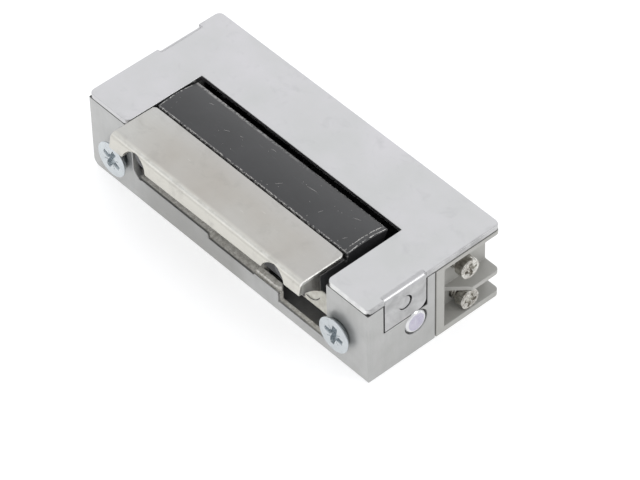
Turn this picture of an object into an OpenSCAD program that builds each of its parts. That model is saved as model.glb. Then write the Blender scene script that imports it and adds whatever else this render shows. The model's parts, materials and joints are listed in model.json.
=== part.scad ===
// Electric door strike: die-cast housing, folded sheet cover, swinging keeper, and behind it the
// locking lever, armature and coil that hold or free the keeper. Millimetres. Sizes are measured
// from the housing's left front bottom corner: x along the length, y from the faceplate side to the
// back, z from the underside to the cover. The origin is at the middle of the underside.

/* [Body] */
// Length of the strike, end to end
body_l = 66.5; // [66:0.1:68]
// Depth behind the faceplate
body_d = 28; // [27.8:0.1:29]
// Height, underside to the top of the cover
body_h = 16; // [15.8:0.1:16.5]
// Thickness of the housing floor
floor_t = 1.2; // [0.8:0.1:1.3]
// Thickness of the housing front wall
front_t = 1.3; // [1:0.1:1.3]
// Thickness of the housing back wall
back_t = 1.4; // [1:0.1:1.6]
// Radius along the bottom edge of the left end
foot_r = 1.3; // [0.5:0.1:1.5]

/* [Cover] */
// Thickness of the cover sheet
sheet_t = 1; // [0.8:0.1:1]
// Left edge of the keeper window
window_x0 = 9.6; // [9.4:0.1:9.7]
// Right edge of the keeper window
window_x1 = 57; // [56.8:0.1:57.4]
// Back edge of the keeper window
window_y1 = 15.8; // [15.6:0.1:16.4]
// Corner radius of the cover
cover_r = 1.1; // [0.5:0.1:1.5]
// Width of each folded end tab
tab_w = 8.7; // [6:0.1:8.8]
// Height of the lower edge of the tabs
tab_z0 = 9.05; // [9.05:0.05:10]
// Front edge of the right tab
tab_right_y = 3.55; // [3.5:0.05:3.6]
// Front edge of the left tab
tab_left_y = 14.65; // [14.6:0.05:15]

/* [Keeper] */
// Left end of the keeper
keeper_x0 = 9.75; // [9.7:0.05:9.9]
// Right end of the keeper
keeper_x1 = 55.1; // [54.6:0.1:55.4]
// Distance of the pivot axis from the front face
pivot_y = 10.1; // [10:0.05:10.2]
// Height of the pivot axis
pivot_z = 6.6; // [6.5:0.05:6.7]
// Distance of the swivel's upper back edge from the pivot axis
swivel_r = 9.9; // [9.7:0.05:9.95]
// How far the keeper's nose stands in front of the front face
nose_reach = 4.1; // [3.6:0.1:4.2]
// Radius of the nose's rounded upper edge
nose_r = 1.1; // [0.8:0.1:1.4]
// Width of the screwdriver notches in the nose
notch_w = 5.6; // [5:0.1:5.8]
// Centre of the left notch
notch_left = 15.65; // [15.5:0.05:16]
// Centre of the right notch
notch_right = 49.15; // [48.5:0.05:49.5]
// Opening angle of the keeper
keeper_open = 45; // [40:1:46]

/* [Pins and screws] */
// Radius of the keeper's pivot pin
pin_r = 1.5; // [1.4:0.05:1.5]
// Radial clearance of every running fit
running_gap = 0.05; // [0.03:0.01:0.08]
// Distance between the faceplate screw holes
faceplate_pitch = 53; // [52.8:0.1:53.2]
// Height of the faceplate screw holes
faceplate_z = 6.5; // [6.4:0.1:6.6]
// Radius of the M3.5 faceplate thread
faceplate_screw_r = 1.75; // [1.7:0.01:1.75]
// Radius of the countersunk head
faceplate_head_r = 3.3; // [3:0.1:3.4]

/* [Magnet] */
// Left end of the coil bobbin
coil_x0 = 31; // [31:0.1:31.2]
// Right end of the coil bobbin
coil_x1 = 53.5; // [53:0.1:53.5]
// Swing of the locking lever from freed to locked
lever_swing = 5; // [4:0.5:5]

/* [Terminals] */
// Left face of the terminal block
block_x0 = 58.4; // [58.4:0.1:58.6]
// Front face of the terminal block
block_y0 = 14.35; // [14.3:0.05:14.4]
// Depth of the wire recesses from the right end
recess_d = 3.3; // [3:0.1:3.4]
// Centre of the terminal screws behind the front face
terminal_y = 21.8; // [21.6:0.1:22]

/* [Hidden] */
$fn = 64;

past = 1;                          // how far a cutter runs past the face it cuts
lap = 0.05;                        // how far one cut or block runs into the next
hair = 0.01;                       // the same, where two faces would only touch
housing_top = body_h - sheet_t;
pocket_y1 = 19.8;                  // back of the space that the keeper swings in
room_x0 = 2.4;                     // left wall of the mechanism's room
room_y1 = body_d - back_t;
end_wall_x1 = block_x0 - 0.1;      // the wall between the room and the terminal block
end_wall_t = 1.2;
room_x1 = end_wall_x1 - end_wall_t;
post_x = 10.35;                    // right edge of the left post where it meets the front wall
zinc = "#c3c4c5";
steel = "#cfd0d2";
bright = "#c5cdd6";
black_paint = "#3c3c3e";
plastic = "#b4b3ab";

module from_corner() translate([-body_l / 2, -body_d / 2, 0]) children();

// A bar along x whose section is drawn with the section's x as y and its y as z.
module along_x(x0, x1)
    translate([x0, 0, 0]) rotate([90, 0, 90]) linear_extrude(x1 - x0) children();

// A bar along y whose section is drawn with the section's x as x and its y as z.
module along_y(y0, y1)
    translate([0, y1, 0]) rotate([90, 0, 0]) linear_extrude(y1 - y0) children();

module block(low, high) translate(low) cube(high - low);

module bore_x(x0, x1, y, z, r) translate([x0, y, z]) rotate([0, 90, 0]) cylinder(h = x1 - x0, r = r);

module bore_y(y0, y1, x, z, r) translate([x, y0, z]) rotate([-90, 0, 0]) cylinder(h = y1 - y0, r = r);

module bore_z(z0, z1, x, y, r) translate([x, y, z0]) cylinder(h = z1 - z0, r = r);

module rounded_rect(low, high, r) {
    for (x = [low[0] + r, high[0] - r], y = [low[1] + r, high[1] - r])
        translate([x, y]) circle(r);
    translate([low[0] + r, low[1]]) square([high[0] - low[0] - 2 * r, high[1] - low[1]]);
    translate([low[0], low[1] + r]) square([high[0] - low[0], high[1] - low[1] - 2 * r]);
}

function polar(r, a) = [r * cos(a), r * sin(a)];

// A round wire along a path: rings of points square to the path, joined into one closed skin.
wire_sides = 8;
function unit(v) = v / norm(v);
function path_dir(p, i) = unit(p[min(i + 1, len(p) - 1)] - p[max(i - 1, 0)]);
function side_of(d) = unit(cross(d, abs(d[2]) < 0.8 ? [0, 0, 1] : [1, 0, 0]));
function carried(s, d) = unit(s - (s * d) * d);
function sides_along(p, i, s) =
    i == len(p) ? [] : let (t = carried(s, path_dir(p, i))) concat([t], sides_along(p, i + 1, t));

module wire(path, r) {
    side = sides_along(path, 0, side_of(path_dir(path, 0)));
    n = wire_sides;
    last = len(path) - 1;
    points = [for (i = [0 : last], k = [0 : n - 1])
        let (d = path_dir(path, i), s = side[i], t = cross(d, s), a = 360 * k / n)
            path[i] + r * (cos(a) * s + sin(a) * t)];
    skin = [for (i = [0 : last - 1], k = [0 : n - 1])
        [i * n + k, i * n + (k + 1) % n, (i + 1) * n + (k + 1) % n, (i + 1) * n + k]];
    ends = [[for (k = [n - 1 : -1 : 0]) k], [for (k = [0 : n - 1]) last * n + k]];
    polyhedron(points, concat(skin, ends));
}

// ---- housing and cover ----

rim_x = [post_x, 28.6, 39.6, 45.4, window_x1];   // where the front wall's rim changes height
rim_z = [4.6, 3.6, 4, 2];
bar_y = [0.6, 1.75];                             // raised bar behind the rim's third step
bar_z = 4.5;
bar_seam_z = 3.6;                                // bottom of the seam between the rim and the bar
bar_seam_y = 0.38;
bar_end_r = (bar_y[1] - bar_y[0]) / 2;
bar_x1 = 45.1;
land_y = 3.4;                                    // back edge of the solid land behind the rim
rim_fillet = 1.8;
fillet_root = 0.2;                               // how far the fillet's corner is sunk in the walls
rib_z = 9.6;                                     // top of the left post's rib beside the keeper
ledge_z = [4.1, 5];                              // shelf beside the keeper's right end
ledge_y = [2.4, 4.2];
ledge_end_y = pivot_y - 3;                       // the shelf's back edge beyond the keeper's end
ledge_x = 47;
ledge_gap = 0.3;
stake_r = 1.45;                                  // the round stake in the shelf and its seam
stake_seam = 0.22;
stake_c = [50.6, 3.95];
screw_hole_depth = 7.4;
countersink = 0.7;
tab_gap = 0.25;                                  // around each folded tab, in its recess
rivet_r = 2.15;
rivet_t = 1;
rivet_gap = 0.2;
rivet_edge = 0.3;                                // chamfer round the rivet's head
pin_x0 = 4.8;
faceplate_x = [body_l / 2 - faceplate_pitch / 2, body_l / 2 + faceplate_pitch / 2];

lever_pin_x = 6.6;
lever_pin_y = 22.6;
lever_pin_r = 1.25;
armature_pin_x = 29;
armature_pin_y = 25.1;
armature_pin_r = 0.8;
lever_z0 = 4.3;
lever_z1 = 6.3;
seat_gap = 0.1;
lever_z = (lever_z0 + lever_z1) / 2;
lever_boss_r = 2.4;
armature_boss_r = 1.3;
armature_boss_z1 = 2.5;
lever_spring_x = 13;
lever_spring_r = 1.6;
spring_play = 0.05;
spring_pocket_gap = 0.2;
spring_pocket_d = 0.7;                           // how deep the lever's spring sits in the back wall
strip_z = [3.05, 9.9];                           // heights of the two contact strips and terminals
strip_y = 23.4;
strip_half = [0.25, 1];                          // half the thickness and half the height of a strip
strip_gap = [0.25, 0.3];
strip_end = 0.7;                                 // how far the strips reach into the room
pin_seat = 0.7;                                  // how deep the small pins sit in the floor
room_y0 = 16.2;                                  // front of the room to the left of the keeper
end_gap = 0.25;                                  // between the housing and the terminal block
key_y = [1.2, 4.1];                              // the terminal block's key, back from its front face
key_z = [3.1, 11.9];
key_out = 0.7;                                   // how far the key reaches into the end wall
key_gap = 0.1;

module housing_outline()
    difference() {
        square([body_l, housing_top]);
        difference() {
            square(foot_r);
            translate([foot_r, foot_r]) circle(foot_r);
        }
    }

module front_rim_cut() {
    for (i = [0 : len(rim_z) - 1])
        block([rim_x[i], -past, rim_z[i]], [rim_x[i + 1], front_t + lap, body_h]);
    block([rim_x[2] - lap, bar_seam_y, bar_seam_z], [rim_x[3], front_t + lap, body_h]);
    for (i = [0, 1])
        block([rim_x[i], 0, rim_z[i]], [rim_x[i + 1], land_y + lap, body_h]);
}

module rim_corner_fillet()
    along_y(0, front_t)
        difference() {
            translate([post_x - fillet_root, rim_z[0] - fillet_root]) square(rim_fillet + fillet_root);
            translate([post_x + rim_fillet, rim_z[0] + rim_fillet]) circle(rim_fillet);
        }

module keeper_pocket() {
    block([window_x0, front_t, rib_z], [window_x1, pocket_y1, body_h]);
    block([window_x0, land_y, floor_t], [window_x1, pocket_y1, body_h]);
    block([rim_x[2], front_t, floor_t], [window_x1, pocket_y1, body_h]);
    block([window_x0, -past, rib_z], [post_x + lap, front_t + lap, body_h]);
    block([window_x0, front_t, rim_z[0]], [post_x + lap, land_y + lap, body_h]);
}

// The bar's right end is round.
module rim_bar()
    translate([0, 0, floor_t]) linear_extrude(bar_z - floor_t) {
        translate([rim_x[2], bar_y[0]]) square([bar_x1 - rim_x[2] - bar_end_r, bar_y[1] - bar_y[0]]);
        translate([bar_x1 - bar_end_r, (bar_y[0] + bar_y[1]) / 2]) circle(bar_end_r);
    }

// A shelf with an open space beneath it. A round stake shows as a ring-shaped seam in its top.
module ledge()
    difference() {
        union() {
            block([ledge_x, ledge_y[0], ledge_z[0]], [window_x1 + lap, ledge_y[1], ledge_z[1]]);
            block([keeper_x1 + ledge_gap, ledge_y[0], ledge_z[0]],
                [window_x1 + lap, ledge_end_y, ledge_z[1]]);
        }
        translate([stake_c[0], stake_c[1], ledge_z[1] - stake_seam]) difference() {
            cylinder(h = past, r = stake_r);
            translate([0, 0, -past]) cylinder(h = 3 * past, r = stake_r - stake_seam);
        }
    }

module tab_recess(x0, x1, y0)
    block([x0, y0 - tab_gap, tab_z0 - tab_gap], [x1, y0 + tab_w + tab_gap, body_h]);

module screw_hole(x) {
    bore_y(-past, screw_hole_depth, x, faceplate_z, faceplate_screw_r);
    translate([x, 0, faceplate_z]) rotate([-90, 0, 0])
        translate([0, 0, -hair]) cylinder(h = countersink, r1 = faceplate_screw_r + countersink,
            r2 = faceplate_screw_r);
}

module housing() color(zinc) from_corner()
    difference() {
        union() {
            difference() {
                along_y(0, body_d) housing_outline();
                keeper_pocket();
                front_rim_cut();
                block([room_x0, pocket_y1 - lap, floor_t], [room_x1, room_y1, body_h]);
                block([room_x0, room_y0, floor_t], [window_x0 + lap, pocket_y1, body_h]);
            }
            rim_corner_fillet();
            rim_bar();
            ledge();
            bore_z(0, lever_z0 - seat_gap, lever_pin_x, lever_pin_y, lever_boss_r);
            bore_z(0, armature_boss_z1, armature_pin_x, armature_pin_y, armature_boss_r);
        }
        block([end_wall_x1, block_y0 - end_gap, -past], [body_l + past, body_d + past, body_h]);
        tab_recess(body_l - sheet_t - key_gap, body_l + past, tab_right_y);
        tab_recess(-past, sheet_t + key_gap, tab_left_y);
        for (x = faceplate_x) screw_hole(x);
        bore_x(pin_x0, body_l + past, pivot_y, pivot_z, pin_r);
        bore_x(body_l - rivet_t, body_l + past, pivot_y, pivot_z, rivet_r + rivet_gap);
        bore_z(floor_t - pin_seat, body_h, lever_pin_x, lever_pin_y, lever_pin_r);
        bore_z(floor_t - pin_seat, body_h, armature_pin_x, armature_pin_y, armature_pin_r);
        bore_y(room_y1 - past, room_y1 + spring_pocket_d, lever_spring_x, lever_z,
            lever_spring_r + spring_pocket_gap);
        for (z = strip_z)
            block([room_x1 - past, strip_y - strip_half[0] - strip_gap[0], z - strip_half[1] - strip_gap[1]],
                [body_l, strip_y + strip_half[0] + strip_gap[0], z + strip_half[1] + strip_gap[1]]);
        block([block_x0 - key_out - key_gap, block_y0 + key_y[0] - key_gap, key_z[0] - key_gap],
            [block_x0, block_y0 + key_y[1] + key_gap, key_z[1] + key_gap]);
    }

module cover_outline()
    difference() {
        rounded_rect([0, 0], [body_l, body_d], cover_r);
        translate([window_x0, -past]) square([window_x1 - window_x0, window_y1 + past]);
        difference() {
            translate([window_x1 - hair, -hair]) square(cover_r);
            translate([window_x1 + cover_r, cover_r]) circle(cover_r);
        }
        difference() {
            translate([window_x0 - cover_r + hair, -hair]) square(cover_r);
            translate([window_x0 - cover_r, cover_r]) circle(cover_r);
        }
    }

bend_r = 1.2;
tab_corner_r = 1.6;
dimple_z = 12.55;                                // the crescent cut: one circle less another
dimple_r = 1.35;
dimple_shift = [0.25, 0.2];
dimple_inner_r = 1.2;

// One folded tab on the end at x = 0: a bend, the leg down, and a half-sheared locking dimple.
module end_tab() {
    difference() {
        along_y(0, tab_w)
            difference() {
                translate([0, tab_z0]) square([sheet_t, body_h - tab_z0]);
                difference() {
                    translate([0, body_h - bend_r]) square(bend_r);
                    translate([bend_r, body_h - bend_r]) circle(bend_r);
                }
            }
        along_x(-past, sheet_t + past)
            difference() {
                translate([-hair, tab_z0 - hair]) square(tab_corner_r);
                translate([tab_corner_r, tab_z0 + tab_corner_r]) circle(tab_corner_r);
            }
        along_x(-past, sheet_t + past)
            translate([tab_w / 2, dimple_z])
                difference() {
                    circle(dimple_r);
                    translate(dimple_shift) circle(dimple_inner_r);
                }
    }
}

module cover_plate() color(steel) from_corner() {
    difference() {
        translate([0, 0, housing_top]) linear_extrude(sheet_t) cover_outline();
        for (end = [0, 1])
            translate([end * body_l, 0, 0]) mirror([end, 0, 0])
                translate([0, end ? tab_right_y : tab_left_y, 0])
                    block([-past, 0, 0], [sheet_t, tab_w, body_h + past]);
    }
    translate([0, tab_left_y, 0]) end_tab();
    translate([body_l, tab_right_y + tab_w, 0]) rotate([0, 0, 180]) end_tab();
}

// ---- keeper ----

plate_y1 = 5.75;                    // back edge of the nose's top plate
plate_corner_r = 1;
joint_y = 0.45;                     // face where the nose meets the swivel
hollow_r = 6.35;                    // the latch's hollow in the keeper
hollow_c = [-4.2, 7.2];
lip_t = 0.75;
lip_z = 13.1;
lip_lean = 12;                      // how far the lip's face leans back
back_angle = keeper_open + 16.1;    // the swivel's back ends on this radius, clear of the lever when open
crown_r = 20;                       // radius of the swivel's slightly rounded top
crown_z = 15.7;                     // height of the top's front edge
hub_r = 3.4;
spring_slot_r = 3.5;                // the slot clears the keeper's return spring
shell_r = 7.2;                      // the swivel is hollow inside this radius
front_wall_y = 4.7;
web_t = 1.5;
hollow_top_z = 7.4;                 // lower face of the shell's hollow inside
arc_steps = 16;
heel_z = 5.1;                       // underside of the swivel's lower lip
heel_y = [1.75, 4.4];
belly = [8, 3.6];
clamp_z = 13.2;
flange_y = -1.1;
lug_x = [19, 25];
mid_web_x = 21;
lug_y1 = 15.6;
lug_z = [6.45, 8];
spring_x = [11.8, 18];
spring_slot_y = [6.8, 14];
spring_slot_z = [3, 7.6];
nose_back_z = 11.5;                 // the nose and the swivel meet from here up
groove_w = 0.45;
groove_t = 0.7;
screw_m3_r = 1.45;

// Points of an arc of radius r that bulges to the left of the way from a to b.
function arc_between(a, b, r) =
    let (way = unit(b - a), left = [-way[1], way[0]], half = norm(b - a) / 2,
        c = (a + b) / 2 - sqrt(r * r - half * half) * left, swing = asin(half / r),
        mid = atan2(left[1], left[0]))
        [for (i = [0 : arc_steps]) c + polar(r, mid + swing * (1 - 2 * i / arc_steps))];

module swivel_section_full() {
    hollow_back = hollow_c + [hollow_r, 0];
    groove_y1 = plate_y1 + groove_w;
    difference() {
        union() {
            polygon(concat(
                [[joint_y, housing_top]],
                [[plate_y1, housing_top], [plate_y1, housing_top - groove_t],
                    [groove_y1, housing_top - groove_t]],
                arc_between([groove_y1, crown_z], [pivot_y, pivot_z] + polar(swivel_r, back_angle), crown_r),
                [[pivot_y, pivot_z], belly, [heel_y[1], heel_z], [heel_y[0], heel_z], hollow_back,
                    [joint_y, nose_back_z]]));
            translate([pivot_y, pivot_z]) circle(hub_r);
        }
        translate(hollow_c) circle(hollow_r);
    }
}

module swivel_section_shell()
    difference() {
        swivel_section_full();
        difference() {
            intersection() {
                translate([pivot_y, pivot_z]) circle(shell_r);
                translate([front_wall_y, hollow_top_z]) square(shell_r * 2);
            }
            translate([pivot_y, pivot_z]) circle(hub_r);
        }
    }

module keeper_swivel() color(black_paint) from_corner()
    difference() {
        union() {
            along_x(keeper_x0, keeper_x1) swivel_section_shell();
            for (x = [keeper_x0, mid_web_x, keeper_x1 - web_t])
                along_x(x, x + web_t) swivel_section_full();
            block([lug_x[0], pivot_y, lug_z[0]], [lug_x[1], lug_y1, lug_z[1]]);
        }
        bore_x(keeper_x0 - past, keeper_x1 + past, pivot_y, pivot_z, pin_r + running_gap);
        block([spring_x[0], spring_slot_y[0], spring_slot_z[0]],
            [spring_x[1], spring_slot_y[1], spring_slot_z[1]]);
        bore_x(spring_x[0], spring_x[1], pivot_y, pivot_z, spring_slot_r);
        for (x = [notch_left, notch_right])
            bore_y(joint_y - past, front_wall_y + past, x, clamp_z, screw_m3_r);
    }

notch_z = 12.95;                    // centre of the round top of each notch
clamp_hole_gap = 0.1;
lip_r = lip_t / 2;
lip_foot = [-nose_reach + lip_r, lip_z + lip_r];
ridge_z = body_h - nose_r;
ridge_c = [lip_foot[0] + (ridge_z - lip_foot[1]) * tan(lip_lean) + (nose_r - lip_r) / cos(lip_lean), ridge_z];
hollow_lip_angle = 81;              // where the hollow meets the lip, as an angle about its centre

function arc_round(c, r, from, to) =
    [for (i = [0 : arc_steps]) c + polar(r, from + (to - from) * i / arc_steps)];

module nose_section()
    polygon(concat(
        arc_round(ridge_c, nose_r, 90, 180 - lip_lean),
        arc_round(lip_foot, lip_r, 180 - lip_lean, 360 - lip_lean),
        arc_round(hollow_c, hollow_r, hollow_lip_angle, acos((joint_y - hollow_c[0]) / hollow_r)),
        [[joint_y, housing_top], [plate_y1, housing_top], [plate_y1, body_h]]));

module keeper_nose() color("#cfcec5") from_corner()
    difference() {
        along_x(keeper_x0, keeper_x1) nose_section();
        for (x = [notch_left, notch_right]) {
            along_y(-nose_reach - past, flange_y)
                union() {
                    translate([x, notch_z]) circle(notch_w / 2);
                    translate([x - notch_w / 2, notch_z - notch_w]) square([notch_w, notch_w]);
                }
            bore_y(flange_y - past, joint_y + past, x, clamp_z, screw_m3_r + clamp_hole_gap);
        }
        for (end = [0, 1])
            translate([end ? keeper_x1 : keeper_x0, plate_y1, housing_top - hair]) mirror([end, 0, 0])
                linear_extrude(body_h)
                    difference() {
                        translate([-hair, -plate_corner_r]) square(plate_corner_r + hair);
                        translate([plate_corner_r, -plate_corner_r]) circle(plate_corner_r);
                    }
    }

recess_root = 0.8;                  // radius of the recess at its bottom, against the blade width

// A cross recess: two crossed blades with tapered tips, cut into a head that faces along +z at z = 0.
module cross_recess(span, width, depth)
    translate([0, 0, -depth]) intersection() {
        union() {
            block([-span / 2, -width / 2, 0], [span / 2, width / 2, depth + past]);
            block([-width / 2, -span / 2, 0], [width / 2, span / 2, depth + past]);
        }
        cylinder(h = depth + hair, r1 = width * recess_root, r2 = span / 2);
    }

clamp_head_r = 2;
clamp_head_t = 0.95;
clamp_shank_l = 5;
m3_recess = [2.2, 0.5, 0.7];        // span, width and depth of an M3 screw's cross recess

module keeper_clamp_screws() color("#55565a") from_corner()
    for (x = [notch_left, notch_right])
        translate([x, flange_y, clamp_z]) rotate([90, 0, 0])
            difference() {
                union() {
                    cylinder(h = clamp_head_t, r = clamp_head_r);
                    translate([0, 0, -clamp_shank_l]) cylinder(h = clamp_shank_l, r = screw_m3_r);
                }
                translate([0, 0, clamp_head_t]) cross_recess(m3_recess[0], m3_recess[1], m3_recess[2]);
            }

module keeper_pivot_pin() color("#c6c5d2") from_corner() {
    bore_x(pin_x0, body_l - rivet_t, pivot_y, pivot_z, pin_r);
    translate([body_l - rivet_t, pivot_y, pivot_z]) rotate([0, 90, 0]) {
        cylinder(h = rivet_t - rivet_edge, r = rivet_r);
        translate([0, 0, rivet_t - rivet_edge])
            cylinder(h = rivet_edge, r1 = rivet_r, r2 = rivet_r - rivet_edge);
    }
}

coil_steps = 12;                    // points in one turn of a spring
return_wire_r = 0.35;
return_coil_r = 2.3;
return_turns = 5.5;
return_pitch = 0.9;
return_leg_low = [1.6, 3.5, 5.4];   // heights along the leg that stands on the housing's floor
return_leg_high = [7.8, 9.6, 11.6]; // heights along the leg that pushes the swivel

module keeper_return_spring() color("#9a9ca0") from_corner() {
    x0 = spring_x[0] + return_wire_r * 2;
    coil = [for (i = [0 : coil_steps * return_turns])
        let (a = 360 * i / coil_steps)
            [x0 + return_pitch * i / coil_steps, pivot_y + return_coil_r * cos(a),
                pivot_z + return_coil_r * sin(a)]];
    wire(concat([for (z = return_leg_low) [x0, pivot_y + return_coil_r, z]], coil,
        [for (z = return_leg_high) [x0 + return_pitch * return_turns, pivot_y - return_coil_r, z]]),
        return_wire_r);
}

// ---- lock ----

lever_eye_r = 2.9;
lever_tip_x = 27;
lever_tip_y = [20.2, 22.2];
tooth_x = [19.6, 24.4];
tooth_y = 16;
tooth_chamfer = 0.4;
lever_front_y = 20.4;
lever_back_y = 23.65;               // the lever's back edge where its spring sits
lever_seat_half = 2.4;
lever_eye_back = [2, lever_pin_y + 2.5];
clip_t = 0.5;
clip_r = 2.4;
clip_slot = 1.7;
clip_gap = 0.05;
groove_depth = 0.3;                 // groove that the clip snaps into
lever_pin_z1 = 8.2;

lever_front_lap = 0.5;              // the lever's arm starts this far in front of its eye's back

module locking_lever() color("#b9bcc0") from_corner()
    difference() {
        translate([0, 0, lever_z0]) linear_extrude(lever_z1 - lever_z0) union() {
            translate([lever_pin_x, lever_pin_y]) circle(lever_eye_r);
            polygon([[lever_pin_x, lever_pin_y - lever_eye_back[0] - lever_front_lap], [tooth_x[0], lever_front_y],
                [tooth_x[0], tooth_y + tooth_chamfer], [tooth_x[0] + tooth_chamfer, tooth_y],
                [tooth_x[1] - tooth_chamfer, tooth_y], [tooth_x[1], tooth_y + tooth_chamfer],
                [tooth_x[1], lever_tip_y[0]], [lever_tip_x, lever_tip_y[0]], [lever_tip_x, lever_tip_y[1]],
                [lever_spring_x + lever_seat_half, lever_back_y],
                [lever_spring_x - lever_seat_half, lever_back_y],
                [lever_pin_x + lever_eye_back[0], lever_eye_back[1]], [lever_pin_x, lever_eye_back[1]]]);
        }
        bore_z(lever_z0 - past, lever_z1 + past, lever_pin_x, lever_pin_y,
            lever_pin_r + running_gap);
    }

module lever_pin() color(bright) from_corner()
    difference() {
        bore_z(floor_t - pin_seat, lever_pin_z1, lever_pin_x, lever_pin_y, lever_pin_r);
        translate([lever_pin_x, lever_pin_y, lever_z1 + clip_gap * 3]) difference() {
            cylinder(h = clip_t + clip_gap * 2, r = lever_pin_r + past);
            translate([0, 0, -past]) cylinder(h = clip_t + 2 * past, r = lever_pin_r - groove_depth);
        }
    }

module lever_clip() color("#6f7175") from_corner()
    translate([lever_pin_x, lever_pin_y, lever_z1 + clip_gap * 4]) linear_extrude(clip_t)
        difference() {
            circle(clip_r);
            circle(lever_pin_r - groove_depth + clip_gap);
            translate([-clip_slot / 2, -clip_r - past]) square([clip_slot, clip_r + past]);
        }

end_pitch = 0.9;                    // rise of a closed end turn, in wire radii

// A compression spring along +z from z = 0, closed by a flat turn at each end.
module compression_spring(length, r, wire_r, turns) {
    steps = coil_steps * (turns + 2);
    function rise(t) = t < 1 ? 0 : t > turns + 1 ? 1 : (t - 1) / turns;
    low = wire_r;
    high = length - wire_r;
    end_rise = wire_r * end_pitch;
    wire([for (i = [0 : steps]) let (t = i / coil_steps, a = 360 * t)
        [r * cos(a), r * sin(a), low + (high - low) * rise(t) + end_rise * (2 * t / (turns + 2) - 1)]],
        wire_r);
}

lever_wire_r = 0.16;
lever_spring_turns = 4;

module lever_spring() color("#9a9ca0") from_corner()
    translate([lever_spring_x, lever_back_y + 3 * spring_play, lever_z]) rotate([-90, 0, 0])
        compression_spring(room_y1 + spring_pocket_d - lever_back_y - 4 * spring_play,
            lever_spring_r - lever_wire_r, lever_wire_r, lever_spring_turns);

// ---- magnet ----

coil_z = 8.1;
core_y = 22.65;
core_half = [0.8, 4];
tube_t = 0.45;
winding_t = 1.05;
tape_t = 0.12;
flange_t = 0.9;
flange_half = [2.6, 5.7];
yoke_t = 1.1;
yoke_x0 = 30.7;
rear_x = [coil_x1 + 0.1, coil_x1 + 1.3];
yoke_y0 = 20.1;
yoke_z = [2.3, 13.6];
rivet_over = 0.1;                   // how far the core is riveted over the yoke
pole_x = 30.15;
armature_t = 1.1;
armature_x1 = pole_x - 0.1;
finger_z = [4.1, 6.5];
armature_z = [2.6, 13.6];
armature_y0 = 20.2;
notch_y1 = armature_pin_y - 1.6;    // the plate's tall part ends here, clear of the spring
barrel_r = 1.4;
barrel_z1 = 11;
core_gap = 0.05;
tube_r = 0.4;
core_r = 0.15;
winding_r = 1;

module ring_section(half, r) {
    rounded_rect([core_y - half[0], coil_z - half[1]], [core_y + half[0], coil_z + half[1]], r);
}

function grown(half, by) = [half[0] + by, half[1] + by];
tube_half = grown(core_half, tube_t + core_gap);
winding_half = grown(tube_half, winding_t);

module coil_bobbin() color("#2c2c2e") from_corner()
    difference() {
        union() {
            along_x(coil_x0, coil_x1) ring_section(tube_half, tube_r);
            for (x = [coil_x0, coil_x1 - flange_t])
                along_x(x, x + flange_t) ring_section(flange_half, tube_r);
        }
        along_x(coil_x0 - past, coil_x1 + past) ring_section(grown(core_half, core_gap), core_r);
    }

module coil_winding() color("#a4562f") from_corner()
    difference() {
        along_x(coil_x0 + flange_t, coil_x1 - flange_t) ring_section(winding_half, winding_r);
        along_x(coil_x0, coil_x1) ring_section(tube_half, tube_r);
    }

module coil_tape() color("#26262a") from_corner()
    difference() {
        along_x(coil_x0 + flange_t, coil_x1 - flange_t)
            ring_section(grown(winding_half, tape_t), winding_r + tape_t);
        along_x(coil_x0, coil_x1) ring_section(winding_half, winding_r);
    }

module coil_core() color("#8e9196") from_corner()
    along_x(pole_x, rear_x[1] + rivet_over) ring_section(core_half, core_r);

module magnet_yoke() color("#8e9196") from_corner()
    difference() {
        union() {
            block([yoke_x0, room_y1 - yoke_t, yoke_z[0]], [rear_x[1], room_y1, yoke_z[1]]);
            block([rear_x[0], yoke_y0, yoke_z[0]], [rear_x[1], room_y1, yoke_z[1]]);
        }
        along_x(rear_x[0] - past, rear_x[1] + past) ring_section(core_half, core_r);
    }

// The finger's end is a wedge: its slope is the finger's travel over the lever tip's travel, so that
// the two faces stay together over the whole swing.
armature_ratio = 2.4;
finger_top = [27.12, 22.4];
finger_low_y = 20.3;
finger_travel = (armature_pin_y - (finger_top[1] + finger_low_y) / 2)
    * sin(armature_ratio * lever_swing);
tip_travel = (lever_tip_x - lever_pin_x) * sin(lever_swing);
finger_low = [finger_top[0] + (finger_top[1] - finger_low_y) * finger_travel / tip_travel,
    finger_low_y];

module armature() color("#a0a3a8") from_corner()
    difference() {
        union() {
            block([armature_x1 - armature_t, armature_y0, armature_z[0]],
                [armature_x1, notch_y1, armature_z[1]]);
            block([armature_x1 - armature_t, armature_y0, armature_z[0]],
                [armature_x1, armature_pin_y, barrel_z1]);
            bore_z(armature_z[0], barrel_z1, armature_pin_x, armature_pin_y, barrel_r);
            translate([0, 0, finger_z[0]]) linear_extrude(finger_z[1] - finger_z[0])
                polygon([finger_top, finger_low, [armature_x1 - fillet_root, finger_low[1]],
                    [armature_x1 - fillet_root, finger_top[1]]]);
        }
        bore_z(armature_z[0] - past, barrel_z1 + past, armature_pin_x, armature_pin_y,
            armature_pin_r + running_gap);
    }

armature_pin_z1 = 14;

module armature_pin() color(bright) from_corner()
    bore_z(floor_t - pin_seat, armature_pin_z1, armature_pin_x, armature_pin_y, armature_pin_r);

light_wire_r = 0.15;
light_coil_r = 1.12;
light_turns = 4.25;
light_pitch = 0.42;
light_clear = 0.25;                 // between the armature's barrel and the spring
leg_clear = 0.03;
light_leg = [3.6, 2.4, 1.2];        // distances from the pin along the leg that rests on the wall

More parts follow.
